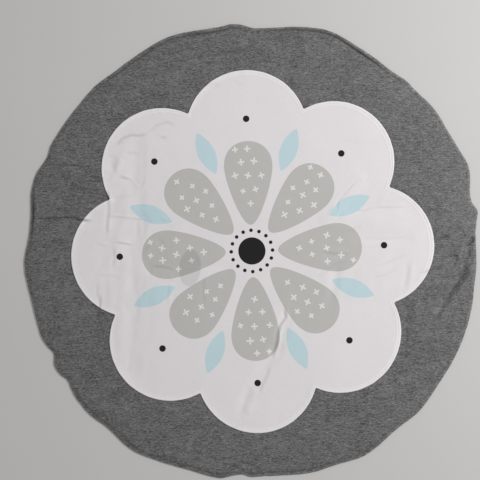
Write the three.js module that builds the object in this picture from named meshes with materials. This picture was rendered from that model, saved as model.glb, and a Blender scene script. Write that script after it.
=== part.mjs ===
// A round baby play mat, lying flat on a floor. The mat is one round of heathered jersey over a
// thin soft inside, turned and topstitched along its rim. A white cotton panel with eight round
// lobes is sewn on top of it. Millimetres, +Z up, origin at the middle of the underside.
import * as THREE from 'three';

// Driving dimensions
const MAT_DIAMETER = 900; // finished, from rim to rim
const BODY_HEIGHT = 5.2; // top of the jersey, lying
const PANEL_THICKNESS = 1.2; // cotton with its turned edge
const LAYER_GAP = 0.3; // between the jersey and the cotton
const LOBES = 8; // round lobes of the panel's outline
const LOBE_CENTRE = 240; // from the mat's middle to the middle of a lobe
const LOBE_RADIUS = 120;
const SPOKES = 144; // points round the rim and round the panel
const FOLD_STOPS = 8; // inside the rim, where folds have died out
const FOLD_STARTS = 34; // inside the rim, where folds have their whole height

const DEGREE = Math.PI / 180;
const SPOKE_ANGLE = (2 * Math.PI) / SPOKES;
const PANEL_TURN = SPOKE_ANGLE; // the panel was sewn on a little askew

// How far the rim lies outside a true circle at a bearing, in degrees from +X towards +Y.
const OUTLINE = [
  { bearing: 2, out: -5 },
  { bearing: 6, out: -3 },
  { bearing: 10, out: 5 },
  { bearing: 15, out: 4 },
  { bearing: 18, out: 5 },
  { bearing: 21, out: 12 },
  { bearing: 25, out: 9 },
  { bearing: 31, out: 6 },
  { bearing: 38, out: 9 },
  { bearing: 44, out: 5 },
  { bearing: 48, out: 6 },
  { bearing: 52, out: 2 },
  { bearing: 57, out: 4 },
  { bearing: 63, out: 7 },
  { bearing: 67, out: 11 },
  { bearing: 71, out: 13 },
  { bearing: 75, out: 9 },
  { bearing: 80, out: 2 },
  { bearing: 84, out: -4 },
  { bearing: 87, out: -7 },
  { bearing: 90, out: -7 },
  { bearing: 94, out: 2 },
  { bearing: 97, out: 0 },
  { bearing: 102, out: 0 },
  { bearing: 111, out: 6 },
  { bearing: 121, out: 0 },
  { bearing: 128, out: -2 },
  { bearing: 133, out: 1 },
  { bearing: 140, out: -1 },
  { bearing: 151, out: 0 },
  { bearing: 160, out: 4 },
  { bearing: 165, out: 3 },
  { bearing: 170, out: -5 },
  { bearing: 176, out: -7 },
  { bearing: 183, out: 2 },
  { bearing: 187, out: 1 },
  { bearing: 193, out: -2 },
  { bearing: 203, out: 1 },
  { bearing: 211, out: 3 },
  { bearing: 219, out: 4 },
  { bearing: 225, out: 7 },
  { bearing: 231, out: 3 },
  { bearing: 239, out: 11 },
  { bearing: 246, out: 6 },
  { bearing: 254, out: 2 },
  { bearing: 262, out: 5 },
  { bearing: 271, out: -2 },
  { bearing: 277, out: -1 },
  { bearing: 286, out: 6 },
  { bearing: 291, out: 6 },
  { bearing: 294, out: 9 },
  { bearing: 299, out: 14 },
  { bearing: 309, out: 6 },
  { bearing: 316, out: 10 },
  { bearing: 325, out: 5 },
  { bearing: 331, out: 5 },
  { bearing: 341, out: 3 },
  { bearing: 347, out: 0 },
  { bearing: 351, out: -3 },
  { bearing: 355, out: -3 },
];

// Short dents where the seam pulls the rim in; half_width is in degrees.
const NICKS = [
  { bearing: 13.5, depth: 9.5, half_width: 3.5 },
  { bearing: 156, depth: 6, half_width: 4 },
  { bearing: 207, depth: 10, half_width: 3.5 },
  { bearing: 215.5, depth: 7, half_width: 3.5 },
  { bearing: 266.5, depth: 8, half_width: 3.5 },
];

// The rim in section, from the floor over the round edge and the stitched groove to the body.
const RIM_SECTION = [
  { inset: 3.0, height: 0 },
  { inset: 0.0, height: 1.8 },
  { inset: 0.9, height: 3.5 },
  { inset: 3.0, height: 4.4 },
  { inset: 6.8, height: 3.4 },
  { inset: 14.0, height: 4.5 },
  { inset: 28.0, height: BODY_HEIGHT },
];
const JERSEY_RINGS = [0.33, 0.67]; // more rings, as shares of the way from the section to the panel

// Folds that the mat was stored with: a ridge has a height above 0 and a trough below it.
const FOLDS = [
  { name: 'left level', x0: -425, y0: 68, x1: -215, y1: 64, half_width: 22, height: -1.0 },
  { name: 'left upright', x0: -226, y0: 205, x1: -236, y1: -235, half_width: 26, height: -1.1 },
  { name: 'middle level', x0: -200, y0: -31, x1: -52, y1: -33, half_width: 22, height: -0.7 },
  { name: 'far left upright', x0: -304, y0: -105, x1: -316, y1: -175, half_width: 22, height: -0.9 },
  { name: 'low left upright', x0: -334, y0: -245, x1: -330, y1: -305, half_width: 22, height: -0.8 },
  { name: 'right edge, high', x0: 440, y0: 20, x1: 425, y1: -44, half_width: 22, height: -1.5 },
  { name: 'right edge, low', x0: 425, y0: -44, x1: 385, y1: -118, half_width: 24, height: -1.6 },
  { name: 'low right', x0: 314, y0: -149, x1: 280, y1: -270, half_width: 24, height: -1.3 },
  { name: 'low middle, high', x0: 68, y0: -133, x1: 47, y1: -196, half_width: 22, height: -1.0 },
  { name: 'low middle, low', x0: 47, y0: -196, x1: -5, y1: -291, half_width: 24, height: -1.3 },
  { name: 'right slant', x0: 148, y0: 67, x1: 215, y1: 140, half_width: 22, height: 1.0 },
  { name: 'right level', x0: 201, y0: 81, x1: 312, y1: 89, half_width: 22, height: -0.9 },
  { name: 'right lower level', x0: 215, y0: 26, x1: 306, y1: 26, half_width: 22, height: -0.8 },
  { name: 'right upright', x0: 172, y0: -40, x1: 160, y1: -99, half_width: 22, height: -0.8 },
];

// Broad swells and hollows of the soft inside.
const SWELLS = [
  { x: -120, y: 210, reach: 170, height: 0.7 },
  { x: 210, y: 200, reach: 190, height: 0.5 },
  { x: -150, y: -140, reach: 160, height: 0.6 },
  { x: 130, y: -250, reach: 170, height: 0.7 },
  { x: 0, y: 20, reach: 180, height: -0.4 },
  { x: -350, y: 150, reach: 110, height: 0.5 },
  { x: 370, y: -200, reach: 120, height: 0.6 },
];

// Rings of the panel from its outline inwards: a share of the way out from the middle, and how
// many points go round. A count is the same as the one before it, or half of it.
const PANEL_RINGS = [
  { share: 1.0, count: SPOKES },
  { share: 0.94, count: SPOKES },
  { share: 0.88, count: SPOKES },
  { share: 0.81, count: SPOKES },
  { share: 0.73, count: SPOKES },
  { share: 0.64, count: SPOKES / 2 },
  { share: 0.55, count: SPOKES / 2 },
  { share: 0.46, count: SPOKES / 2 },
  { share: 0.36, count: SPOKES / 4 },
  { share: 0.25, count: SPOKES / 4 },
  { share: 0.13, count: SPOKES / 4 },
];

// A soft bell: 1 in the middle, 0 from one reach away.
function bell(distance, reach) {
  const t = Math.min(Math.abs(distance) / reach, 1);
  return 0.5 + 0.5 * Math.cos(Math.PI * t);
}

// The angle from b to a, in degrees, from -180 to 180.
function turnBetween(a, b) {
  return THREE.MathUtils.euclideanModulo(a - b + 180, 360) - 180;
}

// The outline's rows joined by a smooth closed curve.
function outlineOut(bearing) {
  const count = OUTLINE.length;
  let i = OUTLINE.findIndex((row) => row.bearing > bearing);
  if (i < 0) i = 0;
  const row = (k) => OUTLINE[(i + k + count) % count];
  const span = THREE.MathUtils.euclideanModulo(row(0).bearing - row(-1).bearing, 360);
  const t = THREE.MathUtils.euclideanModulo(bearing - row(-1).bearing, 360) / span;
  const p = [row(-2).out, row(-1).out, row(0).out, row(1).out];
  const bend = 2 * p[0] - 5 * p[1] + 4 * p[2] - p[3];
  const twist = 3 * (p[1] - p[2]) + p[3] - p[0];
  return p[1] + 0.5 * t * (p[2] - p[0] + t * (bend + t * twist));
}

function rimReach(angle) {
  const bearing = THREE.MathUtils.euclideanModulo(angle / DEGREE, 360);
  let reach = MAT_DIAMETER / 2 + outlineOut(bearing);
  for (const nick of NICKS) {
    reach -= nick.depth * bell(turnBetween(bearing, nick.bearing), nick.half_width);
  }
  return reach;
}

function panelReach(angle) {
  const lobeAngle = (2 * Math.PI) / LOBES;
  const turned = angle - PANEL_TURN + lobeAngle / 2;
  const fromLobe = THREE.MathUtils.euclideanModulo(turned, lobeAngle) - lobeAngle / 2;
  const across = LOBE_CENTRE * Math.sin(fromLobe);
  const cutByHand = 1.2 * Math.sin(3 * angle + 0.7) + 0.8 * Math.sin(5 * angle + 2.1);
  return LOBE_CENTRE * Math.cos(fromLobe) + Math.sqrt(LOBE_RADIUS ** 2 - across ** 2) + cutByHand;
}

// The rings inside the panel turn from its lobed outline to a circle near the middle.
function panelRingReach(share, angle) {
  const round = LOBE_CENTRE + LOBE_RADIUS / 2;
  return share * THREE.MathUtils.lerp(round, panelReach(angle), share * share);
}

function at(angle, reach) {
  return new THREE.Vector2(reach * Math.cos(angle), reach * Math.sin(angle));
}

// The mat's box is centred on the origin, so every place is moved by the outline's middle.
const spokeAngles = Array.from({ length: SPOKES }, (_, i) => i * SPOKE_ANGLE);
const outlineBox = new THREE.Box2().setFromPoints(spokeAngles.map((a) => at(a, rimReach(a))));
const matMiddle = outlineBox.getCenter(new THREE.Vector2());

function distanceToFold(fold, place) {
  const start = new THREE.Vector3(fold.x0, fold.y0, 0);
  const end = new THREE.Vector3(fold.x1, fold.y1, 0);
  const point = new THREE.Vector3(place.x, place.y, 0);
  const nearest = new THREE.Line3(start, end).closestPointToPoint(point, true, new THREE.Vector3());
  return nearest.distanceTo(point);
}

// The height that folds and swells add to the jersey's top. They die out towards the rim.
function relief(place) {
  const angle = Math.atan2(place.y, place.x);
  const inset = rimReach(angle) - place.length();
  const share = THREE.MathUtils.smoothstep(inset, FOLD_STOPS, FOLD_STARTS);
  let height = 0;
  for (const fold of FOLDS) height += fold.height * bell(distanceToFold(fold, place), fold.half_width);
  for (const swell of SWELLS) {
    const distance = Math.hypot(place.x - swell.x, place.y - swell.y);
    height += swell.height * bell(distance, swell.reach);
  }
  return share * height;
}

// A closed mesh made of rings of points, joined ring to ring.
class Web {
  constructor() {
    this.places = [];
    this.faces = [];
  }

  // A ring is where its points start and how many there are; height is a function of the place.
  ring(count, reachAt, heightAt) {
    const ring = { start: this.places.length, count };
    for (let i = 0; i < count; i++) {
      const angle = (i / count) * 2 * Math.PI;
      const place = at(angle, reachAt(angle));
      this.places.push(new THREE.Vector3(place.x, place.y, heightAt(place)));
    }
    return ring;
  }

  face(a, b, c, turned) {
    this.faces.push(turned ? [a, c, b] : [a, b, c]);
  }

  // Joins an outer ring to the next one in, which has as many points or half as many.
  bridge(outer, inner, turned = false) {
    const many = outer.count / inner.count;
    for (let i = 0; i < inner.count; i++) {
      const here = inner.start + i;
      const next = inner.start + ((i + 1) % inner.count);
      const rim = (k) => outer.start + ((i * many + k) % outer.count);
      this.face(here, rim(0), rim(1), turned);
      this.face(here, rim(1), next, turned);
      if (many === 2) this.face(next, rim(1), rim(2), turned);
    }
  }

  // Closes the innermost ring with a point in its middle.
  cap(ring, height, turned = false) {
    const middle = this.places.length;
    this.places.push(new THREE.Vector3(0, 0, height));
    for (let i = 0; i < ring.count; i++) {
      this.face(middle, ring.start + i, ring.start + ((i + 1) % ring.count), turned);
    }
  }

  // Closes a flat ring without more points.
  lid(ring, turned = false) {
    const outline = this.places.slice(ring.start, ring.start + ring.count);
    for (const [a, b, c] of THREE.ShapeUtils.triangulateShape(outline, [])) {
      this.face(ring.start + a, ring.start + b, ring.start + c, turned);
    }
  }

  geometry() {
    const shape = new THREE.BufferGeometry();
    const centred = this.places.map((p) => [p.x - matMiddle.x, p.y - matMiddle.y, p.z]);
    shape.setAttribute('position', new THREE.Float32BufferAttribute(centred.flat(), 3));
    shape.setIndex(this.faces.flat());
    shape.computeVertexNormals();
    return shape;
  }
}

// The surface under and over the panel, from its outline to the middle, lifted above the jersey.
function panelSurface(web, lift, turned) {
  const heightAt = (place) => BODY_HEIGHT + relief(place) + lift;
  const rings = PANEL_RINGS.map(({ share, count }) =>
    web.ring(count, (angle) => panelRingReach(share, angle), heightAt));
  for (let i = 1; i < rings.length; i++) web.bridge(rings[i - 1], rings[i], turned);
  web.cap(rings.at(-1), heightAt(new THREE.Vector2()), turned);
  return rings[0];
}

// The jersey body: flat underside, round rim, stitched groove, and the top with its folds.
function matBody() {
  const web = new Web();
  const section = RIM_SECTION.map(({ inset, height }) => {
    const reachAt = (angle) => rimReach(angle) - inset;
    return web.ring(SPOKES, reachAt, (place) => height + relief(place));
  });
  const last = RIM_SECTION.at(-1);
  const jersey = JERSEY_RINGS.map((share) => {
    const reachAt = (angle) => THREE.MathUtils.lerp(rimReach(angle) - last.inset, panelReach(angle), share);
    return web.ring(SPOKES, reachAt, (place) => last.height + relief(place));
  });
  const rings = [...section, ...jersey, panelSurface(web, 0, false)];
  for (let i = 1; i < rings.length; i++) web.bridge(rings[i - 1], rings[i]);
  web.lid(rings[0], true);
  return web.geometry();
}

// The cotton panel follows the jersey under it, one gap above, with the same points.
function cottonPanel() {
  const web = new Web();
  const under = panelSurface(web, LAYER_GAP, true);
  const over = panelSurface(web, LAYER_GAP + PANEL_THICKNESS, false);
  web.bridge(under, over);
  return web.geometry();
}

const jersey = new THREE.MeshStandardMaterial({ color: 0x6e6d6e, roughness: 0.95, metalness: 0 });
const cotton = new THREE.MeshStandardMaterial({ color: 0xe1dedd, roughness: 0.85, metalness: 0 });

const body = new THREE.Mesh(matBody(), jersey);
body.name = 'mat_body';

const panel = new THREE.Mesh(cottonPanel(), cotton);
panel.name = 'cotton_panel';

const group = new THREE.Group();
group.add(body, panel);

export default group;
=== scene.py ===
"""The looks of a round baby play mat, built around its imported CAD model.

The mat is one round of heathered grey jersey over a thin soft inside, turned and topstitched
along its rim. A printed white cotton panel with eight round lobes is sewn on top of it. Tables
and measures are in millimetres, from the middle of the mat, +X right, +Y up in the photograph,
+Z up. Meshes are in metres.
"""

import math

import bpy
import numpy as np
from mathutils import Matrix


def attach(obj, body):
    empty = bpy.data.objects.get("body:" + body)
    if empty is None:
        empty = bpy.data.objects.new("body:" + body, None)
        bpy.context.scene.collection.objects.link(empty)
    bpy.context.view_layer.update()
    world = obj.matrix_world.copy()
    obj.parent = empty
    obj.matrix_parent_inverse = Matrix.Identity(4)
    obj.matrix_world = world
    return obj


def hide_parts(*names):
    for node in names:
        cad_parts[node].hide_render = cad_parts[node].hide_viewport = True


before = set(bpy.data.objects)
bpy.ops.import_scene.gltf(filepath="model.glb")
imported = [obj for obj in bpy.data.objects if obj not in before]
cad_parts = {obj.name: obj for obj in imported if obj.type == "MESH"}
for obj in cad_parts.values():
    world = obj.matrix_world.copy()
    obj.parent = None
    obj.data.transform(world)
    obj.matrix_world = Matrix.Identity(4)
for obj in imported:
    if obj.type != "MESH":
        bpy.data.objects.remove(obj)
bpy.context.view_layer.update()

MM = 0.001
FULL_TURN = 2 * math.pi

# Measures of the CAD model
CAD_SPOKES = 144
BODY_HEIGHT = 5.2
LAYER_GAP = 0.3
PANEL_THICKNESS = 1.2
LOBES = 8
LOBE_CENTRE = 240
LOBE_RADIUS = 120
PANEL_TURN = math.radians(2.5)
FOLD_STOPS = 8  # inside the rim, where folds have died out
FOLD_STARTS = 34  # inside the rim, where folds have their whole height

# Measures that only the looks have
FINER = 7  # spokes for each spoke of the CAD model
SPOKES = CAD_SPOKES * FINER
PANEL_DIP = 0.6  # how much lower the panel's unseen underside lies, clear of the creases
JERSEY_DIP = 1.3  # the same for the jersey under it
PAINTED_SHADE_WIDTH = 2.6  # how far from its line a crease's painted shade reaches
LATTICE = 64  # cells after which noise and facets repeat
RIM_WALK = 450  # millimetres along the rim for each radian
PUCKER_WALK = 440  # the same for the rim's puckers
HEM_WALK = 330  # the same along the panel's edge

# Broad folds and swells, as in the CAD model: x0, y0, x1, y1, half width, height
FOLDS = [
    (-425, 68, -215, 64, 22, -1.0),
    (-226, 205, -236, -235, 26, -1.1),
    (-200, -31, -52, -33, 22, -0.7),
    (-304, -105, -316, -175, 22, -0.9),
    (-334, -245, -330, -305, 22, -0.8),
    (440, 20, 425, -44, 22, -1.5),
    (425, -44, 385, -118, 24, -1.6),
    (314, -149, 280, -270, 24, -1.3),
    (68, -133, 47, -196, 22, -1.0),
    (47, -196, -5, -291, 24, -1.3),
    (148, 67, 215, 140, 22, 1.0),
    (201, 81, 312, 89, 22, -0.9),
    (215, 26, 306, 26, 22, -0.8),
    (172, -40, 160, -99, 22, -0.8),
]

# x, y, reach, height
SWELLS = [
    (-120, 210, 170, 0.7),
    (210, 200, 190, 0.5),
    (-150, -140, 160, 0.6),
    (130, -250, 170, 0.7),
    (0, 20, 180, -0.4),
    (-350, 150, 110, 0.5),
    (370, -200, 120, 0.6),
]

# Creases: half width, height of the middle (a trough is below 0), lean, the shade in percent that
# is painted into the colour along it, and the points that it runs through. A lean lifts the side on
# the left hand as one goes along, and lowers the other.
CREASES = [
    # cotton, right
    (2.4, 0.25, -0.2, 1.5, [(148, 67), (165, 93)]),
    (2.4, -0.6, -0.25, 1.5, [
        (172, 76), (171, 94), (177, 104), (202, 132), (209, 137), (228, 139), (233, 149),
    ]),
    (2.4, -0.1, -0.25, 0, [(179, 85), (172, 69), (156, 55)]),
    (2.4, 0.6, 0.35, 1.5, [(204, 81), (229, 83), (250, 88), (278, 89), (307, 89)]),
    (2.4, -0.3, 0, 4, [(170, 35), (192, 40), (211, 48), (224, 55)]),
    (2.4, -0.3, 0.15, 2.5, [(216, 24), (266, 24), (282, 25), (307, 26)]),
    (2.4, 0.15, 0.1, 1.5, [(209, 8), (238, 9), (259, 9)]),
    (4, -0.3, 0.5, 4.5, [(140, -2), (174, -6), (195, -5)]),
    (2.4, -0.25, 0, 5, [(252, -31), (282, -17), (308, -7)]),
    (2.4, -0.25, 0, 5, [(238, -53), (264, -47), (291, -33)]),
    (4, -0.4, 0.1, 5, [(126, -54), (167, -26), (193, -18)]),
    (7, 0, 0.4, 0, [(174, -28), (172, -67), (160, -99)]),
    (2.4, -0.15, -0.1, 0, [(266, 96), (276, 110), (291, 126)]),
    (5.5, 0.1, 0.65, 1.5, [(316, -21), (312, -55), (305, -76)]),
    (3, 0.25, 0, 0, [(284, 218), (326, 219), (368, 220)]),
    (2.4, 0.05, 0.1, 1.5, [(185, 218), (219, 215), (255, 216)]),
    # cotton, low
    (7, 0.1, 0.85, 0.5, [
        (318, -89), (317, -122), (316, -150), (311, -178), (305, -208), (297, -229), (278, -279),
    ]),
    (5.5, 0.8, 0.35, 2, [(239, -262), (228, -283), (221, -302), (211, -311)]),
    (3.2, 0.4, 1.1, 8, [(68, -111), (69, -132), (59, -148), (53, -169), (49, -192), (43, -214)]),
    (4, 0.1, 0.3, 6, [(39, -224), (33, -243), (23, -263), (16, -283)]),
    (7, 0.1, 0.9, 2, [(5, -268), (-7, -299), (-16, -324)]),
    # cotton, left
    (2.4, 0.2, 0.25, 5, [(-201, 53), (-192, 58), (-178, 65), (-164, 56)]),
    (4, -0.1, 0.25, 3, [(-183, 30), (-169, 4)]),
    (3, -0.2, -0.05, 1, [(-164, 20), (-160, -5)]),
    (2.4, 0.9, 0.25, 4, [(-282, 71), (-265, 69), (-237, 65), (-209, 63)]),
    (2.4, 0.1, 0.1, 0, [(-223, 89), (-209, 77), (-201, 61), (-195, 50)]),
    (2.4, 0.1, 0.7, 8, [(-271, 16), (-249, 15), (-233, 13)]),
    (2.6, 0.1, 0.3, 4, [(-197, 13), (-205, 4), (-210, -3)]),
    (2.4, 0.05, 0.35, 9, [(-201, -30), (-178, -31), (-164, -33), (-151, -37)]),
    (4, 0.25, -0.2, 0, [(-134, -34), (-102, -33), (-50, -39)]),
    (3, 0.15, 0.7, 11, [(-261, 147), (-237, 142)]),
    (5, -1, 0.1, 20, [(-271, 207), (-256, 222), (-240, 229), (-220, 228), (-206, 233)]),
    (5, -0.6, 0.1, 10, [(-206, 233), (-189, 248), (-172, 254), (-152, 249)]),
    (4, -0.4, 0.3, 6, [(-252, 194), (-223, 194)]),
    (4, -0.6, 0.4, 14, [(-183, 222), (-169, 228)]),
    (7, -0.7, 1.2, 1, [(-263, 188), (-270, 172), (-275, 153)]),
    (3, -0.5, 0.05, 7, [(-305, -62), (-306, -85), (-300, -107), (-305, -126), (-310, -142)]),
    (3, 0.05, 0.45, 2, [(-297, -83), (-300, -118), (-304, -136)]),
    (5.5, 0.05, 0.15, 0, [
        (-235, 8), (-231, -38), (-223, -85), (-222, -121), (-228, -151), (-234, -194), (-241, -248),
    ]),
    (6, 0.1, 0.05, 0.5, [(-221, 200), (-225, 151), (-231, 101), (-235, 52)]),
    (3, 0, 0.6, 6, [(-283, 123), (-281, 77), (-285, 32)]),
    (4, 0, 0.5, 6, [(-271, 8), (-269, -14), (-273, -34)]),
    (5.5, -0.1, -0.15, 0, [(-253, -107), (-243, -130), (-249, -155), (-251, -179), (-243, -188)]),
    (4, 0.2, -0.1, 0, [(-243, -206), (-249, -229)]),
    (3, 0, 0.15, 1.5, [(-292, -234), (-293, -254)]),
    (4, 0, 0.3, 3, [(-326, -248), (-327, -262), (-330, -295), (-334, -311)]),
    (2.6, 0.1, 0.3, 3, [(-308, 16), (-284, 10)]),
    (3, 0, 0.25, 2, [(-261, 6), (-259, -26)]),
    (3, 0, 0.25, 2, [(-223, 63), (-224, 26)]),
    (3, 0, -0.25, 0, [(-215, 60), (-214, 24)]),
    (2.6, 0, 0.25, 3, [(-197, -31), (-198, -52)]),
    (3, 0.1, 0.3, 2, [(-280, 106), (-255, 108), (-231, 111)]),
    (3, 0, 0.1, 0.5, [(-209, 200), (-211, 157)]),
    (2.6, 0.2, -0.3, 3, [(-237, 144), (-226, 132), (-215, 126)]),
    (2.6, 0, 0.3, 3, [(-210, 147), (-214, 134), (-219, 121)]),
    (3.5, 0, 0.1, 0.5, [(-282, -48), (-285, -107)]),
    (3.5, 0, 0.25, 1.5, [(-161, -61), (-167, -107)]),
    (3.5, 0, 0.2, 1.5, [(-92, -48), (-94, -107)]),
    (3, 0.15, 0.25, 2, [(-304, -47), (-283, -49), (-258, -48)]),
    (3, 0.1, 0.25, 2, [(-176, -60), (-160, -56), (-147, -61)]),
    # top
    (5, -0.4, 0.6, 4, [(-106, 331), (-82, 330), (-60, 331)]),
    (2.4, 0.05, 0, 3, [(-39, 342), (-7, 325)]),
    # jersey, left
    (2.4, -0.2, 0.9, 20, [(-399, 171), (-374, 171), (-356, 171), (-335, 168), (-312, 169)]),
    (3, 0.1, 1.1, 32, [(-322, 148), (-307, 147), (-292, 143)]),
    (4, -0.5, 0.5, 8, [(-431, 123), (-411, 123), (-380, 124), (-337, 123), (-305, 123)]),
    (3, 0.3, 1.6, 42, [
        (-423, 68), (-407, 65), (-388, 65), (-370, 66), (-349, 66), (-335, 62), (-317, 61),
    ]),
    # jersey, right
    (2.4, -0.7, 0.4, 42, [(361, 23), (382, 27), (399, 34)]),
    (2.6, 0.6, 0.8, 26, [(387, -12), (401, -6), (410, -11), (405, -26)]),
    (2.4, -0.5, 0.3, 14, [(334, -44), (355, -39), (378, -30)]),
    (7, 0.3, 2.5, 8, [
        (437, -22), (429, -33), (421, -49), (410, -67), (396, -90), (385, -109), (371, -129),
    ]),
    (6, 2, 0, 0, [(445, -27), (430, -52), (417, -73), (404, -94), (391, -115)]),
    (2.6, -0.3, 0.4, 16, [(362, -28), (380, -15), (393, -10)]),
    (6, 0.2, -2, 0, [(431, 17), (420, -8), (407, -32)]),
    (3, -2.8, 0.8, 36, [(450, 32), (440, 20), (430, 11), (419, 3)]),
    (2.6, -0.5, 0.3, 16, [(403, 52), (415, 44), (425, 36), (423, 28), (431, 24)]),
    (3, -0.7, 0.3, 8, [(445, 14), (434, 5), (422, -5)]),
    (4, 0, 0.6, 5, [(440, -65), (431, -88)]),
    # jersey, along the rim at the bottom
    (2.6, -0.6, 0.6, 28, [(-275, -354), (-263, -345), (-247, -344), (-240, -347)]),
    (3, -0.5, 0.8, 24, [(-289, -321), (-281, -340)]),
    (3, -0.3, 0.5, 10, [(-259, -360), (-244, -376), (-232, -392)]),
    (3, -0.2, 0.3, 6, [(-243, -361), (-228, -390)]),
    (3, -0.2, 0.5, 9, [(-212, -366), (-204, -382), (-200, -394), (-198, -407)]),
    (3, -0.2, 0.3, 6, [(-218, -393), (-212, -400)]),
    (2.6, -0.4, 0.9, 33, [(-177, -396), (-170, -410)]),
    (3, -0.3, 0.4, 6, [(-154, -403), (-151, -418), (-140, -427)]),
    (3, 0, 0.4, 9, [(-190, -386), (-190, -399)]),
    (3.4, 0.3, -0.15, 4, [(-132, -381), (-116, -366), (-95, -359)]),
    (2.6, -0.2, -0.15, 5, [(-116, -391), (-108, -372), (-99, -363)]),
    (2.6, -0.4, 0.1, 9, [(-63, -359), (-46, -356), (-33, -350), (-22, -345)]),
    (3, 0.4, 0.3, 3, [(-20, -353), (-19, -369), (-9, -376), (-1, -383), (2, -396)]),
    (2.6, 0.4, -0.1, 6, [(-31, -369), (-35, -391), (-42, -411)]),
    (4, 0.6, 1.4, 28, [(-43, -434), (-28, -428), (-20, -415), (-5, -420), (9, -425)]),
    (5.5, 0.5, 0.4, 2, [(217, -376), (212, -396), (203, -413)]),
]

# The rim in section, from the floor over the rolled edge to the jersey: inset, height
RIM = [
    (2.6, 0.0), (1.5, 0.2), (0.45, 0.8), (0.0, 1.5), (0.1, 2.2),
    (0.45, 2.75), (1.1, 3.15), (2.0, 3.45), (3.0, 3.67), (4.0, 3.84),
    (4.8, 3.95), (5.6, 4.05), (6.4, 4.14), (7.2, 4.23), (8.0, 4.31),
    (8.8, 4.39), (9.8, 4.47), (11.0, 4.56), (13.2, 4.7),
]

# The topstitch along the rim: bearing in degrees, how hard it is pulled (this sets its groove's
# depth and how much shade is painted into the groove), how far inside the edge
RIM_SEAM = [
    (0, 0.0, 7.4), (30, 0.1, 7.0), (42, 0.4, 7.0), (52, 0.5, 7.4),
    (60, 2.6, 8.2), (66, 2.1, 7.4), (75, 1.3, 6.2), (82, 1.4, 5.8),
    (90, 0.1, 6.8), (100, 1.8, 8.4), (110, 1.0, 7.4), (120, 0.7, 7.2),
    (130, 1.0, 5.8), (140, 0.1, 5.0), (150, 0.3, 4.4), (163, 0.1, 4.4),
    (170, 2.6, 4.4), (179, 0.5, 4.8), (198, 0.1, 5.4), (220, 0.7, 5.8),
    (245, 0.8, 7.0), (285, 0.7, 7.4), (310, 0.3, 7.4), (325, 0.0, 7.4),
]
GROOVE_WIDTH = 2.3
GROOVE_DEPTH = 0.5  # where it is pulled with a strength of 1
GROOVE_SHADE = 0.4  # the share of the light that it swallows there

# Past the section the jersey rises to its face: inset, height
RISE = [(20, 4.98), (28, BODY_HEIGHT)]
ROLL_TOP = 4  # a ring of the rolled edge at this height gets the whole of its unevenness

# The same groove under the mat, in section: inset from the topstitch, height
UNDER_GROOVE = [(-1.4, 0.0), (-0.7, 0.28), (0.0, 0.5), (0.7, 0.28), (1.6, 0.0)]

# The panel's turned edge in section, above the jersey under it: inset, height
HEM = [
    (2.2, 0.0), (0.8, 0.08), (0.1, 0.4), (0.1, 0.85), (0.7, 1.25),
    (1.7, 1.48), (2.9, 1.52), (4.1, 1.42), (5.1, 1.26), (5.8, 1.16),
    (6.6, 1.22), (7.8, 1.34), (9.0, 1.4), (10.2, 1.3), (11.6, PANEL_THICKNESS),
]
HEM_STITCHES = 5.8  # how far inside the panel's edge its topstitch runs


def smooth(value, low, high):
    """0 at low, 1 at high and a smooth rise between them."""
    t = np.clip((value - low) / (high - low), 0, 1)
    return t * t * (3 - 2 * t)


def bell(distance, reach):
    """1 in the middle and 0 from one reach away."""
    t = np.clip(np.abs(distance) / reach, 0, 1)
    return 0.5 + 0.5 * np.cos(math.pi * t)


def noise(x, y, cell, seed):
    """Smooth noise from about -1 to 1. Its bumps are as wide and as high as a cell."""
    angles = np.random.default_rng(seed).uniform(0, FULL_TURN, (LATTICE, LATTICE))
    u, v = x / cell[0], y / cell[1]
    column, row = np.floor(u).astype(int), np.floor(v).astype(int)
    u, v = u - column, v - row

    def corner(right, up):
        angle = angles[(row + up) % LATTICE, (column + right) % LATTICE]
        return np.cos(angle) * (u - right) + np.sin(angle) * (v - up)

    across, along = smooth(u, 0, 1), smooth(v, 0, 1)
    low = corner(0, 0) * (1 - across) + corner(1, 0) * across
    high = corner(0, 1) * (1 - across) + corner(1, 1) * across
    return 1.6 * (low * (1 - along) + high * along)


# The outlines, read from the CAD model


def node_points(name):
    return np.array([v.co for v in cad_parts[name].data.vertices]) / MM


def web_middle():
    """Where the spokes of the CAD meshes meet: the panel's point nearest to the origin."""
    points = node_points("cotton_panel")
    return points[np.argmin(np.hypot(points[:, 0], points[:, 1])), :2]


MIDDLE = web_middle()
ANGLES = np.arange(SPOKES) * FULL_TURN / SPOKES


def spoke_reach(name):
    """How far a node reaches along each CAD spoke."""
    across, up = (node_points(name)[:, :2] - MIDDLE).T
    spoke = np.rint(np.arctan2(up, across) * CAD_SPOKES / FULL_TURN).astype(int) % CAD_SPOKES
    reach = np.zeros(CAD_SPOKES)
    np.maximum.at(reach, spoke, np.hypot(across, up))
    return reach


def refined(values):
    """A closed row of values with more between them, on smooth curves."""
    before, here, after, beyond = (np.roll(values, k)[:, None] for k in (1, 0, -1, -2))
    t = np.arange(FINER)[None, :] / FINER
    bend = 2 * before - 5 * here + 4 * after - beyond
    twist = 3 * (here - after) + beyond - before
    return (here + 0.5 * t * (after - before + t * (bend + t * twist))).ravel()


def lobed(angle):
    """The outline of eight true arcs."""
    lobe = FULL_TURN / LOBES
    turned = np.mod(angle - PANEL_TURN + lobe / 2, lobe) - lobe / 2
    across = LOBE_CENTRE * np.sin(turned)
    return LOBE_CENTRE * np.cos(turned) + np.sqrt(LOBE_RADIUS**2 - across**2)


def rim_outline():
    waver = 0.5 * noise(ANGLES * RIM_WALK / 11, ANGLES * 0, (1, 1), 3)
    return refined(spoke_reach("mat_body")) + waver


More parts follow.
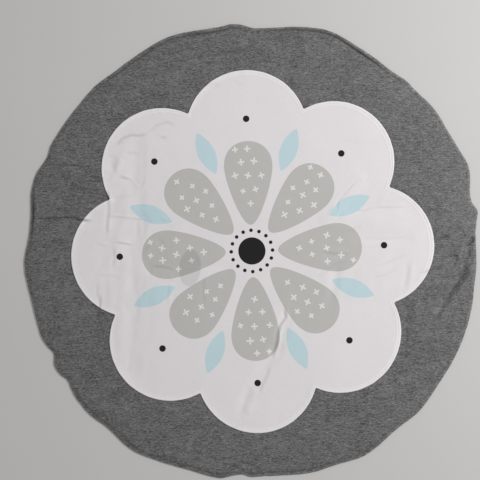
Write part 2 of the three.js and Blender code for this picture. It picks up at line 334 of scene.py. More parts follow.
def panel_outline():
    """The CAD outline: true arcs, cut a little unevenly, with its corners eased."""
    unevenness = spoke_reach("cotton_panel") - lobed(ANGLES[::FINER])
    outline = lobed(ANGLES) + refined(unevenness)
    eased = (np.roll(outline, 1) + outline + np.roll(outline, -1)) / 3
    return eased + 0.25 * noise(ANGLES * HEM_WALK / 14, ANGLES * 0, (1, 1), 4)


RIM_REACH = rim_outline()
PANEL_REACH = panel_outline()


def polar(x, y):
    """Bearing and distance from the middle of the web."""
    across, up = x - MIDDLE[0], y - MIDDLE[1]
    return np.mod(np.arctan2(up, across), FULL_TURN), np.hypot(across, up)


def inset(x, y, outline):
    """How far a place lies inside an outline, along its spoke."""
    bearing, distance = polar(x, y)
    reach = np.interp(bearing, np.append(ANGLES, FULL_TURN), np.append(outline, outline[0]))
    return reach - distance


# The shape of the cloth


def line_distance(x, y, start, end):
    """How far places are from a line, how far along it from 0 to 1, and on which side."""
    dx, dy = end[0] - start[0], end[1] - start[1]
    px, py = x - start[0], y - start[1]
    along = np.clip((px * dx + py * dy) / (dx * dx + dy * dy), 0, 1)
    away = np.hypot(px - along * dx, py - along * dy)
    return away, along, np.sign(dx * py - dy * px)


def crease(x, y, half_width, height, lean, painted_shade, points):
    """One crease, deepest along its middle and dying out towards both ends: height and painted
    shade.
    """
    lengths = [math.dist(a, b) for a, b in zip(points, points[1:])]
    total, done = sum(lengths), 0
    nearest = np.full(x.shape, 1e9)
    share = np.zeros(x.shape)
    side = np.zeros(x.shape)
    for start, end, length in zip(points, points[1:], lengths):
        away, along, hand = line_distance(x, y, start, end)
        closer = away < nearest
        nearest = np.where(closer, away, nearest)
        share = np.where(closer, (done + along * length) / total, share)
        side = np.where(closer, hand, side)
        done += length
    u = nearest / half_width
    ease = min(0.35, 12 / total)
    taper = 0.15 + 0.85 * smooth(share, 0, ease) * smooth(1 - share, 0, ease)
    middle = height * (1 + u * u) ** -1.5
    tilt = lean * side * u * np.exp(0.5 - 0.5 * u * u)
    return taper * (middle + tilt), taper * painted_shade / 100 * np.exp(-((nearest / PAINTED_SHADE_WIDTH) ** 2))


def creases(x, y):
    """The height and the painted shade of all creases. Their lines waver a little, as cloth does.
    """
    wx = x + 1.6 * noise(x, y, (38, 38), 11) + 0.6 * noise(x, y, (13, 13), 12)
    wy = y + 1.6 * noise(x, y, (38, 38), 13) + 0.6 * noise(x, y, (13, 13), 14)
    height, painted_shade = np.zeros(x.shape), np.zeros(x.shape)
    for row in CREASES:
        reach = 6 * row[0]
        xs, ys = zip(*row[4])
        near = (wx > min(xs) - reach) & (wx < max(xs) + reach)
        near &= (wy > min(ys) - reach) & (wy < max(ys) + reach)
        more, darker = crease(wx[near], wy[near], *row)
        height[near] += more
        painted_shade[near] += darker
    return height, painted_shade


def broad_shape(x, y):
    """The folds and swells of the CAD model, with the softer unevenness of the inside."""
    total = np.zeros(x.shape)
    for x0, y0, x1, y1, half_width, height in FOLDS:
        away, _, _ = line_distance(x, y, (x0, y0), (x1, y1))
        total += height * bell(away, half_width)
    for sx, sy, reach, height in SWELLS:
        total += height * bell(np.hypot(x - sx, y - sy), reach)
    return total + 0.3 * noise(x, y, (62, 62), 21) + 0.12 * noise(x, y, (27, 27), 22)


def facets(x, y, cell, seed):
    """Flat facets that meet in faint straight creases, as in cloth that was folded and ironed."""
    heights = np.random.default_rng(seed).uniform(-1, 1, (LATTICE, LATTICE))
    u, v = x / cell[0], y / cell[1]
    column, row = np.floor(u).astype(int), np.floor(v).astype(int)
    u, v = u - column, v - row

    def corner(right, up):
        return heights[(row + up) % LATTICE, (column + right) % LATTICE]

    low = corner(0, 0) + u * (corner(1, 0) - corner(0, 0)) + v * (corner(1, 1) - corner(1, 0))
    high = corner(0, 0) + v * (corner(0, 1) - corner(0, 0)) + u * (corner(1, 1) - corner(0, 1))
    return np.where(u > v, low, high)


def crumple(x, y):
    """Small unevenness without a place of its own. The cotton's left side has the most of it."""
    left = bell(x + 235, 120) * bell(y + 10, 330)
    right = bell(x - 235, 110) * bell(y - 20, 260)
    share = 0.12 + 1.25 * left + 0.5 * right
    wx = x + 3 * noise(x, y, (45, 45), 35)
    wy = y + 3 * noise(x, y, (45, 45), 36)
    flat = 0.6 * facets(wx, wy, (27, 34), 37) + 0.36 * facets(wx + 9, wy, (15, 21), 38)
    upright = 0.25 * bell(x + 265, 75) * bell(y + 130, 190) * noise(x, y, (13, 58), 33)
    return share * flat + upright + 0.05 * noise(x, y, (16, 12), 31)


def rim_puckers(x, y, deep):
    """Short folds that the topstitch draws in, most of them along the bottom."""
    bearing = polar(x, y)[0]
    degrees = np.degrees(bearing)
    bottom = bell(degrees - 248, 48)
    strength = 0.16 + 0.55 * bottom + 0.1 * noise(degrees / 9, degrees * 0, (1, 1), 41)
    along = bearing * PUCKER_WALK
    fine = noise(along, deep, (6.5, 34), 42)
    wide = noise(along, deep, (15, 60), 43)
    reach = smooth(deep, 0.5, 6) * (1 - smooth(deep, 9, 30))
    return strength * reach * (0.55 * fine + 0.6 * wide)


def rim_seam(bearing):
    """How hard the rim's topstitch is pulled at a bearing, and how far inside the edge it runs."""
    bearings, pulls, insets = zip(*RIM_SEAM)
    degrees = np.degrees(bearing)
    pull = np.interp(degrees, bearings, pulls, period=360)
    return pull, np.interp(degrees, bearings, insets, period=360)


def groove(x, y):
    """The groove that the rim's topstitch draws in, as a share: 0 for none."""
    pull, seam = rim_seam(polar(x, y)[0])
    away = (inset(x, y, RIM_REACH) - seam) / GROOVE_WIDTH
    return pull * np.exp(-away * away)


def relief(x, y, detail=1):
    """All that is added to the flat top of the jersey. Detail is the share of its creases."""
    deep = inset(x, y, RIM_REACH)
    broad = smooth(deep, FOLD_STOPS, FOLD_STARTS) * broad_shape(x, y)
    fine = smooth(deep, 1.5, 9) * (creases(x, y)[0] + crumple(x, y)) * detail
    return broad + fine + rim_puckers(x, y, deep) - GROOVE_DEPTH * groove(x, y)


def jersey_top(x, y):
    """The height of the jersey's upper side. Under the panel it lies lower and has no creases."""
    deep = inset(x, y, RIM_REACH)
    depths, heights = zip(*[row for row in RIM if row[0] > 2 and row[1] > 1], *RISE)
    under = inset(x, y, PANEL_REACH)
    covered = smooth(under, 3, 12)
    height = np.interp(deep, depths, heights) + relief(x, y, 1 - covered)
    pressed = 0.3 * np.exp(-((under + 1) / 3.5) ** 2)
    return height - pressed - JERSEY_DIP * covered


def panel_top(x, y):
    """The height of the cotton's upper side."""
    under = inset(x, y, PANEL_REACH)
    depths, heights = zip(*[row for row in HEM if row[1] > 1])
    lift = np.interp(under, depths, heights)
    return BODY_HEIGHT + relief(x, y) + LAYER_GAP + lift + hem_puckers(x, y, under)


def hem_puckers(x, y, under):
    """The edge is drawn in between its stitches."""
    bearing = polar(x, y)[0]
    along = bearing * HEM_WALK
    drawn = 0.6 * noise(along, under, (6, 20), 51) + 0.6 * noise(along, under, (14, 26), 52)
    return 0.22 * drawn * smooth(under, 1, 5) * (1 - smooth(under, 8, 16))


# Meshes


class Web:
    """A closed mesh of rings of points. A ring has as many points as the last one, or half.

    It starts in the middle of the underside, goes out to the edge, and comes back over the top.
    Each point also has two places on the flat map: one for the top and one for the underside.
    """

    TOP = (0.43, 0.43, 0.43)  # middle and radius of the top's round on the flat map
    UNDER = (0.86, 0.86, 0.13)

    def __init__(self):
        self.rings, self.faces, self.under = [], [], []
        self.count = 0

    def ring(self, reach, height, depth):
        """Adds a ring. Reach has a number for each point. Height is a function or one number.

        Depth, how far inside the edge it lies, is one number or one for each point.
        """
        angles = np.arange(len(reach)) * FULL_TURN / len(reach)
        x, y = MIDDLE[0] + reach * np.cos(angles), MIDDLE[1] + reach * np.sin(angles)
        z = height(x, y) if callable(height) else height + 0 * x
        ring = {
            "start": self.count,
            "many": len(x),
            "xyz": np.column_stack([x, y, z]),
            "angles": angles,
            "depth": depth + 0 * x,
        }
        self.rings.append(ring)
        self.count += len(x)
        return ring

    def bridge(self, outer, inner, under):
        """Joins an outer ring to an inner one, with faces that look up, or down if under."""
        here = np.arange(inner["many"])
        following = (here + 1) % inner["many"]
        each = outer["many"] // inner["many"]
        rim = [outer["start"] + (here * each + k) % outer["many"] for k in range(3)]
        a, b = inner["start"] + here, inner["start"] + following
        corners = [(a, rim[0], rim[1]), (a, rim[1], b)]
        if each == 2:
            corners.append((b, rim[1], rim[2]))
        for p, q, r in corners:
            self.faces.append(np.column_stack([p, r, q] if under else [p, q, r]))
            self.under.append(np.full(len(p), under))

    def close(self, ring, height, under):
        """Closes the innermost ring with a point in the middle."""
        middle = self.ring(np.zeros(1), height, ring["depth"].mean())
        here = ring["start"] + np.arange(ring["many"])
        after = ring["start"] + (np.arange(ring["many"]) + 1) % ring["many"]
        centre = np.full(ring["many"], middle["start"])
        corners = [centre, after, here] if under else [centre, here, after]
        self.faces.append(np.column_stack(corners))
        self.under.append(np.full(ring["many"], under))

    def flat_map(self, top_rings):
        """Where each point is on the flat map, on the top's round and on the underside's.

        Along the top the map keeps the lengths, from the middle out to the edge.
        """
        reach = [np.hypot(*(ring["xyz"][:, :2] - MIDDLE).T).mean() for ring in self.rings]
        height = [ring["xyz"][:, 2].mean() for ring in self.rings]
        order = [self.rings.index(ring) for ring in top_rings[::-1]]
        travelled, total = {order[0]: reach[order[0]]}, reach[order[0]]
        for k, before in zip(order[1:], order):
            total += math.hypot(reach[k] - reach[before], height[k] - height[before])
            travelled[k] = total
        top, below = [], []
        widest = max(reach)
        for k, ring in enumerate(self.rings):
            turn = np.column_stack([np.cos(ring["angles"]), np.sin(ring["angles"])])
            share = travelled.get(k, 0) / total
            top.append(np.array(self.TOP[:2]) + self.TOP[2] * share * turn)
            below.append(np.array(self.UNDER[:2]) + self.UNDER[2] * reach[k] / widest * turn)
        return np.vstack(top), np.vstack(below)

    def piece(self, name, material, top_rings):
        points = np.vstack([ring["xyz"] for ring in self.rings]) * MM
        faces = np.vstack(self.faces)
        under = np.concatenate(self.under)
        top, below = self.flat_map(top_rings)
        obj = mesh_piece(name, points, faces, material)
        flat = np.where(under[:, None, None], below[faces], top[faces])
        layer = obj.data.uv_layers.new(name="OFBake")
        layer.data.foreach_set("uv", flat.ravel().astype(np.float32))
        add_values(obj, "inset", np.concatenate([ring["depth"] for ring in self.rings]))
        x, y = points[:, 0] / MM, points[:, 1] / MM
        # Shade painted into the colour: along the creases, and in the rim's stitched groove
        add_values(obj, "painted_shade", creases(x, y)[1] + GROOVE_SHADE * groove(x, y))
        return obj


def mesh_piece(name, points, faces, material):
    """A smooth mesh object from arrays of points, in metres, and of triangles."""
    mesh = bpy.data.meshes.new(name)
    mesh.vertices.add(len(points))
    mesh.vertices.foreach_set("co", np.asarray(points, np.float32).ravel())
    mesh.loops.add(faces.size)
    mesh.loops.foreach_set("vertex_index", faces.ravel().astype(np.int32))
    mesh.polygons.add(len(faces))
    mesh.polygons.foreach_set("loop_start", np.arange(0, faces.size, 3, dtype=np.int32))
    mesh.polygons.foreach_set("loop_total", np.full(len(faces), 3, np.int32))
    mesh.polygons.foreach_set("use_smooth", np.ones(len(faces), bool))
    mesh.update(calc_edges=True)
    mesh.validate()
    mesh.materials.append(material)
    obj = bpy.data.objects.new(name, mesh)
    bpy.context.scene.collection.objects.link(obj)
    return obj


def add_values(obj, name, values):
    """Gives each point of a mesh a number that its material reads."""
    layer = obj.data.attributes.new(name, "FLOAT", "POINT")
    layer.data.foreach_set("value", values.astype(np.float32))


# Rings of the web, in tables: how many points they have, and where they lie.
# Those of the jersey's underside, and how far out
FLOOR_RINGS = [(63, 120), (126, 240), (252, 350), (504, 405)]
FLAT_INSET = 24  # from there inwards the underside is flat

# Those of the jersey's face: the fine ones end this far out, the others lie under the panel
FACE_RINGS = 60
FACE_REACH = 284
HIDDEN_RINGS = [
    (504, (276, 266, 255, 243, 230, 216)),
    (252, (200, 184, 168, 150)),
    (126, (130, 110, 88)),
    (63, (60, 30)),
]

# Those of the panel's underside, and the shares of the way to the middle
UNDER_RINGS = [
    (63, (0.9,)),
    (126, (0.8, 0.7)),
    (252, (0.6, 0.52, 0.45, 0.38)),
    (504, (0.32, 0.27, 0.22, 0.17, 0.13, 0.09, 0.05)),
]

# Those of the panel's top: from one share of the way to the next, in how many steps
TOP_RINGS = [
    (1008, 0, 0.28, 39),
    (504, 0.28, 0.64, 51),
    (252, 0.64, 0.82, 25),
    (126, 0.82, 0.94, 16),
]
ROUND_REACH = 300  # towards the middle the panel's rings turn into circles of this size


def ground_cloth(material):
    """The jersey body: flat underside, rolled rim, stitched groove, and the top with its folds."""
    web = Web()
    inner = [web.ring(np.full(many, reach), 0, 60) for many, reach in FLOOR_RINGS]
    web.close(inner[0], 0, True)
    seam = rim_seam(ANGLES)[1]
    outer = [
        web.ring(RIM_REACH - seam - aside, height, seam + aside)
        for aside, height in UNDER_GROOVE[::-1]
    ]
    under = [web.ring(RIM_REACH - FLAT_INSET, 0, FLAT_INSET), *outer]
    section = [web.ring(RIM_REACH - deep, rim_height(deep, height), deep) for deep, height in RIM]
    chain = inner + under + [section[0]]
    for small, large in zip(chain, chain[1:]):
        web.bridge(large, small, True)
    last = RIM[-1][0]
    top = []
    for share in np.linspace(0, 1, FACE_RINGS + 1)[1:]:
        reach = (RIM_REACH - last) * (1 - share) + FACE_REACH * share
        top.append(web.ring(reach, jersey_top, last + share * 150))
    hidden = [
        web.ring(np.full(many, float(reach)), jersey_top, 200)
        for many, reaches in HIDDEN_RINGS
        for reach in reaches
    ]
    rings = section + top + hidden
    for large, small in zip(rings, rings[1:]):
        web.bridge(large, small, False)
    web.close(rings[-1], jersey_top, False)
    return web.piece("ground_cloth", material, rings)


def roll_lift(x, y):
    """The rolled edge is thicker in some places than in others."""
    bearing = polar(x, y)[0]
    return 0.25 * noise(bearing * RIM_WALK, bearing * 0, (22, 1), 61)


def rim_height(deep, height):
    """The height of a ring of the rim's section: past the roll the jersey's relief is added."""
    if deep >= 2 and height >= 3:
        return lambda x, y: height + relief(x, y)
    if height > 1:
        return lambda x, y: height + roll_lift(x, y) * height / ROLL_TOP
    return height


def panel_cloth(material):
    """The cotton panel, lying on the jersey, with its turned and topstitched edge."""
    web = Web()

    def lying(x, y):
        return BODY_HEIGHT + relief(x, y) + LAYER_GAP

    def face(x, y):
        return lying(x, y) + PANEL_THICKNESS

    def beneath(x, y):
        return BODY_HEIGHT + relief(x, y, 0) + LAYER_GAP - PANEL_DIP

    def hem_ring(deep, height):
        def drawn_in(x, y):
            return lying(x, y) + height + hem_puckers(x, y, deep)

        return web.ring(PANEL_REACH - deep, drawn_in, deep)

    def inner_reach(share, many):
        outline = PANEL_REACH[:: SPOKES // many] - HEM[-1][0]
        return (1 - share) * (ROUND_REACH * share + outline * (1 - share))

    under = [
        web.ring(inner_reach(share, many), beneath, 60)
        for many, shares in UNDER_RINGS
        for share in shares
    ]
    web.close(under[0], beneath, True)
    for deep, height in [(14, beneath), (8, lying)]:
        under.append(web.ring(PANEL_REACH - deep, height, deep))
    section = [hem_ring(deep, height) for deep, height in HEM]
    chain = under + [section[0]]
    for small, large in zip(chain, chain[1:]):
        web.bridge(large, small, True)
    top = [
        web.ring(inner_reach(share, many), face, 12 + 340 * share)
        for many, start, end, steps in TOP_RINGS
        for share in np.linspace(start, end, steps + 1)[1:]
    ]
    rings = section + top
    for large, small in zip(rings, rings[1:]):
        web.bridge(large, small, False)
    web.close(rings[-1], face, False)
    return web.piece("panel_cloth", material, rings)


# Thread

STITCH_PITCH = 3.4
STITCH_LENGTH = 2.9
STITCH_HUMP = 0.3  # how far a stitch's middle stands up from its ends
STITCH_SUNK = 0.12  # how deep the ends lie in the cloth
UNDER_THREAD = 0.45  # how high the rim's stitches lie in the groove underneath


def stitch_template():
    """A short thread in shares of its length and radius: along, across, up, and its faces."""
    sides, stations = 6, [(0.0, 0.35), (0.14, 0.85), (0.5, 1.0), (0.86, 0.85), (1.0, 0.35)]
    points = []
    for along, size in stations:
        for k in range(sides):
            angle = FULL_TURN * k / sides
            points.append((along, size * math.cos(angle), size * math.sin(angle)))
    faces = []
    for ring in range(len(stations) - 1):
        for k in range(sides):
            a, b = ring * sides + k, ring * sides + (k + 1) % sides
            faces += [(a, b, b + sides), (a, b + sides, a + sides)]
    last = (len(stations) - 1) * sides
    for k in range(1, sides - 1):
        faces += [(0, k + 1, k), (last, last + k, last + k + 1)]
    return np.array(points), np.array(faces)


def stitches(reach, height, radius, up=1):
    """Stitches along a line that reaches this far at each angle. Height is that of the cloth."""
    x, y = MIDDLE[0] + reach * np.cos(ANGLES), MIDDLE[1] + reach * np.sin(ANGLES)
    x, y = np.append(x, x[0]), np.append(y, y[0])
    travelled = np.concatenate([[0], np.cumsum(np.hypot(np.diff(x), np.diff(y)))])
    many = round(travelled[-1] / STITCH_PITCH)
    starts = np.arange(many) * travelled[-1] / many
    template, faces = stitch_template()
    place = starts[:, None] + STITCH_LENGTH * template[None, :, 0]
    px, py = np.interp(place, travelled, x), np.interp(place, travelled, y)
    heading = np.arctan2(py[:, -1:] - py[:, :1], px[:, -1:] - px[:, :1])
    across, over = radius * template[None, :, 1], radius * template[None, :, 2]
    px, py = px - across * np.sin(heading), py + across * np.cos(heading)
    hump = STITCH_HUMP * np.sin(math.pi * template[None, :, 0]) - STITCH_SUNK
    surface = height(px, py) if callable(height) else height + 0 * px
    z = surface + up * (over + hump)
    points = np.stack([px, py, z], axis=-1).reshape(-1, 3)
    if up < 0:
        faces = faces[:, ::-1]
    joined = (faces[None] + len(template) * np.arange(many)[:, None, None]).reshape(-1, 3)
    return points, joined


def thread_piece(name, rows, material):
    """Rows of stitches joined into one piece."""
    points, faces, count = [], [], 0
    for row_points, row_faces in rows:
        points.append(row_points)
        faces.append(row_faces + count)
        count += len(row_points)
    return mesh_piece(name, np.vstack(points) * MM, np.vstack(faces), material)


# Materials


def feed(slot, value):
    """Sets an input of a shader node to a number or a colour, or links it to what varies."""
    if isinstance(value, Field):
        value = value.socket
    if isinstance(value, bpy.types.NodeSocket):
        slot.id_data.links.new(value, slot)
    else:
        slot.default_value = value


class Field:
    """A number that varies over a surface: the output of a shader node, which sums can use."""

    def __init__(self, socket):
        self.socket = socket

    def node(self, operation, *others, clamp=False):
        node = self.socket.id_data.nodes.new("ShaderNodeMath")
        node.operation = operation
        node.use_clamp = clamp
        for slot, value in zip(node.inputs, (self, *others)):
            feed(slot, value)
        return Field(node.outputs[0])

    def __add__(self, other):
        return self.node("ADD", other)

    def __sub__(self, other):
        return self.node("SUBTRACT", other)

    def __rsub__(self, other):
        return self.node("MULTIPLY", -1).node("ADD", other)

    def __mul__(self, other):
        return self.node("MULTIPLY", other)

    def __truediv__(self, other):
        return self.node("DIVIDE", other)

    __radd__ = __add__
    __rmul__ = __mul__

    def size(self):
        return self.node("ABSOLUTE")

    def least(self, other):
        return self.node("MINIMUM", other)

    def most(self, other):
        return self.node("MAXIMUM", other)

    def floor(self):
        return self.node("FLOOR")

    def wrap(self, step):
        return self.node("FLOORED_MODULO", step)

    def power(self, other):
        return self.node("POWER", other)

    def root(self):
        return self.most(0.0).node("SQRT")

    def sine(self):
        return self.node("SINE")

    def cosine(self):
        return self.node("COSINE")

    def inside(self, edge):
        """1 where it is above 0, with a soft step as wide as edge."""
        return self.node("MULTIPLY_ADD", 1 / edge, 0.5, clamp=True)

    def ramp(self, low, high):
        """0 at low and 1 at high."""
        return (self - low).node("DIVIDE", high - low, clamp=True)


def length_of(x, y):
    return (x * x + y * y).root()


class Surface:
    """A material under construction, with the shader and the places that its patterns use."""

    def __init__(self, name):
        self.material = bpy.data.materials.new(name)
        self.material.use_nodes = True
        self.tree = self.material.node_tree
        self.shader = self.tree.nodes["Principled BSDF"]
        self.place = self.tree.nodes.new("ShaderNodeTexCoord").outputs["Object"]
        apart = self.tree.nodes.new("ShaderNodeSeparateXYZ")
        feed(apart.inputs[0], self.place)
        self.x, self.y = (Field(s) for s in apart.outputs[:2])

    def noise(self, size, detail=2.0, roughness=0.5, shift=0.0):
        """Noise from 0 to 1 whose bumps have this size in millimetres along X, Y and Z."""
        scaled = self.tree.nodes.new("ShaderNodeVectorMath")
        scaled.operation = "MULTIPLY_ADD"
        feed(scaled.inputs[0], self.place)
        feed(scaled.inputs[1], [1 / (s * MM) for s in size])
        feed(scaled.inputs[2], [shift] * 3)
        texture = self.tree.nodes.new("ShaderNodeTexNoise")
        feed(texture.inputs["Vector"], scaled.outputs[0])
        feed(texture.inputs["Scale"], 1.0)
        feed(texture.inputs["Detail"], detail)
        feed(texture.inputs["Roughness"], roughness)
        return Field(texture.outputs[0])

    def attribute(self, name):
        node = self.tree.nodes.new("ShaderNodeAttribute")
        node.attribute_name = name
        return Field(node.outputs["Fac"])

    def random(self, *fields):
        """Three random numbers from 0 to 1 for a whole cell that these fields number."""
        joined = self.tree.nodes.new("ShaderNodeCombineXYZ")
        for slot, field in zip(joined.inputs, fields):
            feed(slot, field)
        white = self.tree.nodes.new("ShaderNodeTexWhiteNoise")
        feed(white.inputs["Vector"], joined.outputs[0])
        apart = self.tree.nodes.new("ShaderNodeSeparateColor")
        feed(apart.inputs[0], white.outputs["Color"])
        return [Field(s) for s in apart.outputs]

    def mix(self, share, first, second):
        """The first colour where share is 0 and the second where it is 1."""
        node = self.tree.nodes.new("ShaderNodeMix")
        node.data_type = "RGBA"
        for slot, value in ((0, share), (6, first), (7, second)):
            feed(node.inputs[slot], value)
        return node.outputs[2]

    def shade(self, colour, brightness):
        """A colour made brighter or darker by a field around 1."""
        node = self.tree.nodes.new("ShaderNodeVectorMath")
        node.operation = "SCALE"
        feed(node.inputs[0], colour)
        feed(node.inputs["Scale"], brightness)
        return node.outputs[0]

    def finish(self, colour, roughness, height, sheen, specular=0.3):
        """Roughness is a field or one number. Height is in metres."""
        bump = self.tree.nodes.new("ShaderNodeBump")
        feed(bump.inputs["Distance"], 1.0)
        feed(bump.inputs["Height"], height)
        values = {
            "Base Color": colour,
            "Roughness": roughness,
            "Sheen Weight": sheen,
            "Sheen Roughness": 0.5,
            "Specular IOR Level": specular,
            "Normal": bump.outputs[0],
        }
        for name, value in values.items():
            feed(self.shader.inputs[name], value)
        return self.material


JERSEY_COLOUR = (0.131, 0.1295, 0.131)
# A sheen highlight painted along the jersey's rolled edge: how much paler it makes the colour
EDGE_SHEEN_PAINTED = 0.12
EDGE_SHEEN_INSETS = (6.0, 3.0)  # where the edge's painted sheen highlight starts, and where it is at its brightest


def jersey_material():
    """Heathered jersey: pale and dark fibres in short flecks along the courses."""
    made = Surface("heathered_jersey")
    long = made.noise((9.0, 2.4, 4.0), detail=2.0, roughness=0.6)
    short = made.noise((4.2, 1.7, 3.0), detail=1.5, shift=7.3)
    fine = made.noise((2.4, 0.9, 1.5), detail=1.0, shift=4.9)
    specks = made.noise((7.0, 2.0, 3.0), shift=19.7)
    cloud = made.noise((45.0, 30.0, 40.0), detail=1.0, shift=3.1)
    patch = made.noise((15.0, 9.0, 12.0), detail=1.0, shift=23.3)
    streaks = made.noise((26.0, 3.6, 8.0), detail=1.0, shift=11.9)
    dark = 0.36 * (1.0 - long.ramp(0.38, 0.5)) + 0.34 * (1.0 - short.ramp(0.36, 0.48))
    pale = 0.5 * short.ramp(0.54, 0.68) + 0.42 * specks.ramp(0.54, 0.68)
    flecks = pale - dark + 0.9 * (fine - 0.5)
    patches = 0.5 * (streaks - 0.5) + 0.45 * (patch - 0.5) + 0.45 * (cloud - 0.5)
    tone = (1.0 + 1.08 * flecks + patches).most(0.25)
    # Painted light: a sheen highlight along the rolled edge, and shade painted along creases and
    # the groove
    painted_sheen = EDGE_SHEEN_PAINTED * made.attribute("inset").ramp(*EDGE_SHEEN_INSETS)
    lit = (1.0 + painted_sheen) * (1.0 - made.attribute("painted_shade"))
    colour = made.shade(JERSEY_COLOUR, tone * lit)
    roughness = 0.62 + 0.12 * (fine - 0.5)
    height = long * 0.3 * MM + fine * 0.2 * MM
    return made.finish(colour, roughness, height, sheen=0.12, specular=0.5)


# The print, in metres. Distances are from the middle of the panel.
PRINT_EDGE = 0.5 * MM  # how soft the edge of a printed shape is
PETAL_START = 52 * MM
PETAL_LENGTH = 166 * MM
PETAL_WIDEST = 0.62  # as a share of its length
PETAL_BREADTH = 58 * MM
MARK_PITCH = 27 * MM
MARK_SHIFT = 5 * MM
MARK_HALF = 1.6 * MM
MARK_MARGIN = 10.5 * MM  # from a mark's middle to the side of its petal, at least
MARKS_START = 64 * MM
MARKS_END = 203 * MM
LEAF_START = 168 * MM
LEAF_LENGTH = 90 * MM
LEAF_END = LEAF_START + LEAF_LENGTH
LEAF_HALF = 17.5 * MM
RING_REACH = 41 * MM
RING_DOT = 3.6 * MM
LOBE_DOT_REACH = 262 * MM
LOBE_DOT = 6.5 * MM
DISC = 27 * MM

WHITE = (0.775, 0.744, 0.754, 1)
PETAL_GREY = (0.512, 0.506, 0.486, 1)
MARK_WHITE = (0.775, 0.765, 0.745, 1)
LEAF_BLUE = (0.535, 0.69, 0.735, 1)
BLACK = (0.0075, 0.0072, 0.0075, 1)


def petal_half(along):
    """Half the width of a petal at a distance from the middle of the panel."""
    share = (along - PETAL_START) / PETAL_LENGTH
    beyond = (share - PETAL_WIDEST).inside(1e-4)
    reach = PETAL_WIDEST + (1 - 2 * PETAL_WIDEST) * beyond
    from_widest = (share - PETAL_WIDEST) / reach
    bow = (1.0 - from_widest * from_widest).root()
    return PETAL_BREADTH * bow * (0.5 + 0.5 * share)


def printed(made):
    """The panel's print as masks from 0 to 1: grey petals, white marks, blue leaves, black dots."""
    x, y = made.x - MIDDLE[0] * MM, made.y - MIDDLE[1] * MM
    reach = length_of(x, y)
    lobe = FULL_TURN / LOBES
    bearing = y.node("ARCTAN2", x) - PANEL_TURN

    def turned(step, shift):
        """The place in the sector around the nearest of equal axes, and the sector's number."""
        from_start = bearing + shift + step / 2
        angle = from_start.wrap(step) - step / 2
        return reach * angle.cosine(), reach * angle.sine(), (from_start / step).floor()

    along, across, number = turned(lobe, 0.0)
    petal = (petal_half(along) - across.size() - PRINT_EDGE / 2).inside(PRINT_EDGE)

    row = (along / MARK_PITCH).floor()
    drop = 0.5 * row.wrap(2.0)
    column = (across / MARK_PITCH + drop).floor()
    first, second, third = made.random(row, column, number.wrap(LOBES))
    centre_x = (row + 0.5) * MARK_PITCH + (first - 0.5) * MARK_SHIFT
    centre_y = (column + 0.5 - drop) * MARK_PITCH + (second - 0.5) * MARK_SHIFT
    turn = (third - 0.5) * 0.7
    dx, dy = along - centre_x, across - centre_y
    u = (dx * turn.cosine() + dy * turn.sine()).size()
    v = (dy * turn.cosine() - dx * turn.sine()).size()
    arm = (5.2 + 2.0 * first) * MM
    level = (arm - u).least(MARK_HALF - v)
    upright = (arm - v).least(MARK_HALF - u)
    room = (petal_half(centre_x) - centre_y.size() - MARK_MARGIN).inside(1e-5)
    room = room * (centre_x - MARKS_START).inside(1e-5) * (MARKS_END - centre_x).inside(1e-5)
    mark = level.most(upright).inside(PRINT_EDGE) * room

    leaf_along, leaf_across, _ = turned(lobe, lobe / 2)
    leaf_share = ((leaf_along - LEAF_START) / LEAF_LENGTH).least(1.0).most(0.0)
    leaf_half = LEAF_HALF * (leaf_share * math.pi).sine().most(0.0).power(0.8)
    leaf = (leaf_half - leaf_across.size() - PRINT_EDGE / 2).inside(PRINT_EDGE)
    leaf = leaf * (leaf_along - LEAF_START).inside(PRINT_EDGE)
    leaf = leaf * (LEAF_END - leaf_along).inside(PRINT_EDGE)

    dot_along, dot_across, _ = turned(lobe / 2, 0.0)
    ring = (RING_DOT - length_of(dot_along - RING_REACH, dot_across)).inside(PRINT_EDGE)
    lobe_dot = (LOBE_DOT - length_of(along - LOBE_DOT_REACH, across)).inside(PRINT_EDGE)
    disc = (DISC - reach).inside(PRINT_EDGE)
    black = ring.most(lobe_dot).most(disc)
    return petal, mark, leaf, black


HEM_PALER = 0.075
HEM_INSETS = (7.5, 10.5)  # where the turned edge's paleness starts to fade, and where it ends

# A faint oval stain, in millimetres from the middle of the mat
STAIN_MIDDLE = (-121, -33)
STAIN_HALVES = (21.5, 36.5)
STAIN_LEAN = 0.06
STAIN_EDGE = 0.09  # how soft its edge is, as a share of its half widths
STAIN_DARKER = 0.15


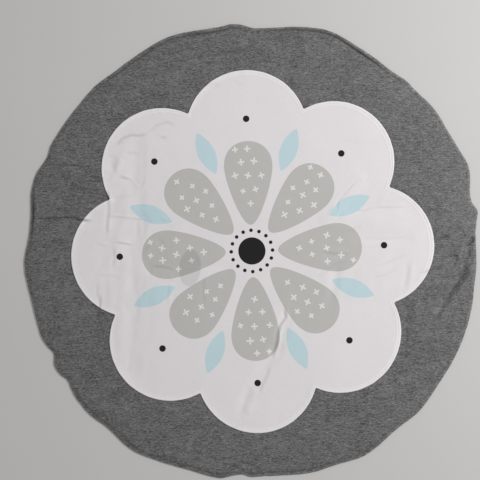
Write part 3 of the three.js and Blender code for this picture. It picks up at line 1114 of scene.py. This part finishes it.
def cotton_material():
    """White woven cotton with its print, a faint stain, and the turned edge a little whiter."""
    made = Surface("printed_cotton")
    warp = made.noise((0.9, 9.0, 3.0), detail=1.0)
    weft = made.noise((9.0, 0.9, 3.0), detail=1.0, shift=5.1)
    cloud = made.noise((60.0, 60.0, 60.0), detail=1.5, shift=2.7)
    petal, mark, leaf, black = printed(made)
    colour = made.mix(petal, WHITE, PETAL_GREY)
    colour = made.mix(petal * mark, colour, MARK_WHITE)
    colour = made.mix(leaf, colour, LEAF_BLUE)
    colour = made.mix(black, colour, BLACK)
    hem = (1.0 - made.attribute("inset").ramp(*HEM_INSETS)) * HEM_PALER
    x, y = made.x / MM - STAIN_MIDDLE[0], made.y / MM - STAIN_MIDDLE[1]
    oval = length_of((x - y * STAIN_LEAN) / STAIN_HALVES[0], y / STAIN_HALVES[1])
    stain = (1.0 - oval).inside(STAIN_EDGE) * STAIN_DARKER
    weave = 0.05 * (warp - 0.5) + 0.05 * (weft - 0.5) + 0.03 * (cloud - 0.5)
    # The stain is the cloth's own mark; the creases' darkening is painted shade
    stain_and_painted_shade = (1.0 - stain) * (1.0 - made.attribute("painted_shade"))
    colour = made.shade(colour, (1.0 + weave + hem) * stain_and_painted_shade)
    roughness = 0.84 - 0.06 * petal.most(leaf).most(black) + 0.06 * (warp - 0.5)
    height = warp * 0.07 * MM + weft * 0.07 * MM
    return made.finish(colour, roughness, height, sheen=0.08)


def thread_material(name, colour):
    """Twisted thread, with shade painted between its strands."""
    made = Surface(name)
    strands = made.noise((0.5, 0.5, 0.5), detail=1.0)
    darker = tuple(0.82 * c for c in colour[:3]) + (1,)
    tinted = made.mix(strands, darker, colour)
    return made.finish(tinted, 0.55 + 0.1 * strands, strands * 0.05 * MM, sheen=0.05)


def floor_material():
    made = Surface("pale_floor")
    cloud = made.noise((400.0, 400.0, 400.0), detail=2.0)
    colour = made.mix(cloud, (0.58, 0.57, 0.56, 1), (0.61, 0.60, 0.59, 1))
    return made.finish(colour, 0.9, cloud * 0.1 * MM, sheen=0.0, specular=0.15)


# The stage: camera, light and floor

CAMERA_LENS = 70
CAMERA_AIM = (-22.0, 22.0)  # the middle of the picture
PICTURE_WIDTH = 951.6  # at the height of the mat's face
SENSOR = 36
MAT_TOP = 5
KEY_PLACE = (2.05, 0.82, 1.72)
KEY_SIZE = 0.6
KEY_POWER = 52
WORLD_STRENGTH = 0.44


def look_at(obj, target):
    """Turns an object so that its -Z points at a place in metres."""
    direction = np.array(target) - np.array(obj.location)
    flat = math.hypot(direction[0], direction[1])
    turn = math.atan2(direction[1], direction[0]) - math.pi / 2
    obj.rotation_euler = (math.atan2(flat, -direction[2]), 0, turn)


def make_camera():
    """Straight above the mat, as the photograph was taken."""
    data = bpy.data.cameras.new("camera")
    data.lens, data.sensor_width = CAMERA_LENS, SENSOR
    camera = bpy.data.objects.new("camera", data)
    height = PICTURE_WIDTH * CAMERA_LENS / SENSOR + MAT_TOP
    camera.location = (CAMERA_AIM[0] * MM, CAMERA_AIM[1] * MM, height * MM)
    bpy.context.scene.collection.objects.link(camera)
    bpy.context.scene.camera = camera


def make_key():
    """A soft lamp to the right, so near that the mat's left side gets less of its light."""
    data = bpy.data.lights.new("key", "AREA")
    data.shape = "DISK"
    data.size = KEY_SIZE
    data.energy = KEY_POWER
    key = bpy.data.objects.new("key", data)
    key.location = KEY_PLACE
    look_at(key, (0, 0, 0))
    key.visible_camera = False
    bpy.context.scene.collection.objects.link(key)


def make_stage():
    bpy.ops.mesh.primitive_plane_add(size=8, location=(0, 0, -0.0001))
    floor = bpy.context.object
    floor.name = "floor"
    floor.data.materials.append(floor_material())
    make_key()
    world = bpy.data.worlds.new("world")
    bpy.context.scene.world = world
    world.use_nodes = True
    background = world.node_tree.nodes["Background"]
    background.inputs["Color"].default_value = (1, 1, 1, 1)
    background.inputs["Strength"].default_value = WORLD_STRENGTH
    bpy.context.scene.view_settings.view_transform = "Standard"


make_camera()
make_stage()

ground = ground_cloth(jersey_material())
panel = panel_cloth(cotton_material())

grey_thread = thread_material("grey_thread", (0.15, 0.148, 0.15, 1))
white_thread = thread_material("white_thread", (0.80, 0.79, 0.78, 1))

rim_line = RIM_REACH - rim_seam(ANGLES)[1]
rim_rows = [
    stitches(rim_line, jersey_top, radius=0.28),
    stitches(rim_line, UNDER_THREAD, radius=0.2, up=-1),
]
rim_thread = thread_piece("rim_thread", rim_rows, grey_thread)
hem_rows = [stitches(PANEL_REACH - HEM_STITCHES, panel_top, radius=0.26)]
panel_thread = thread_piece("panel_thread", hem_rows, white_thread)

for piece in (ground, panel, rim_thread, panel_thread):
    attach(piece, "root")
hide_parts("mat_body")
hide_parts("cotton_panel")
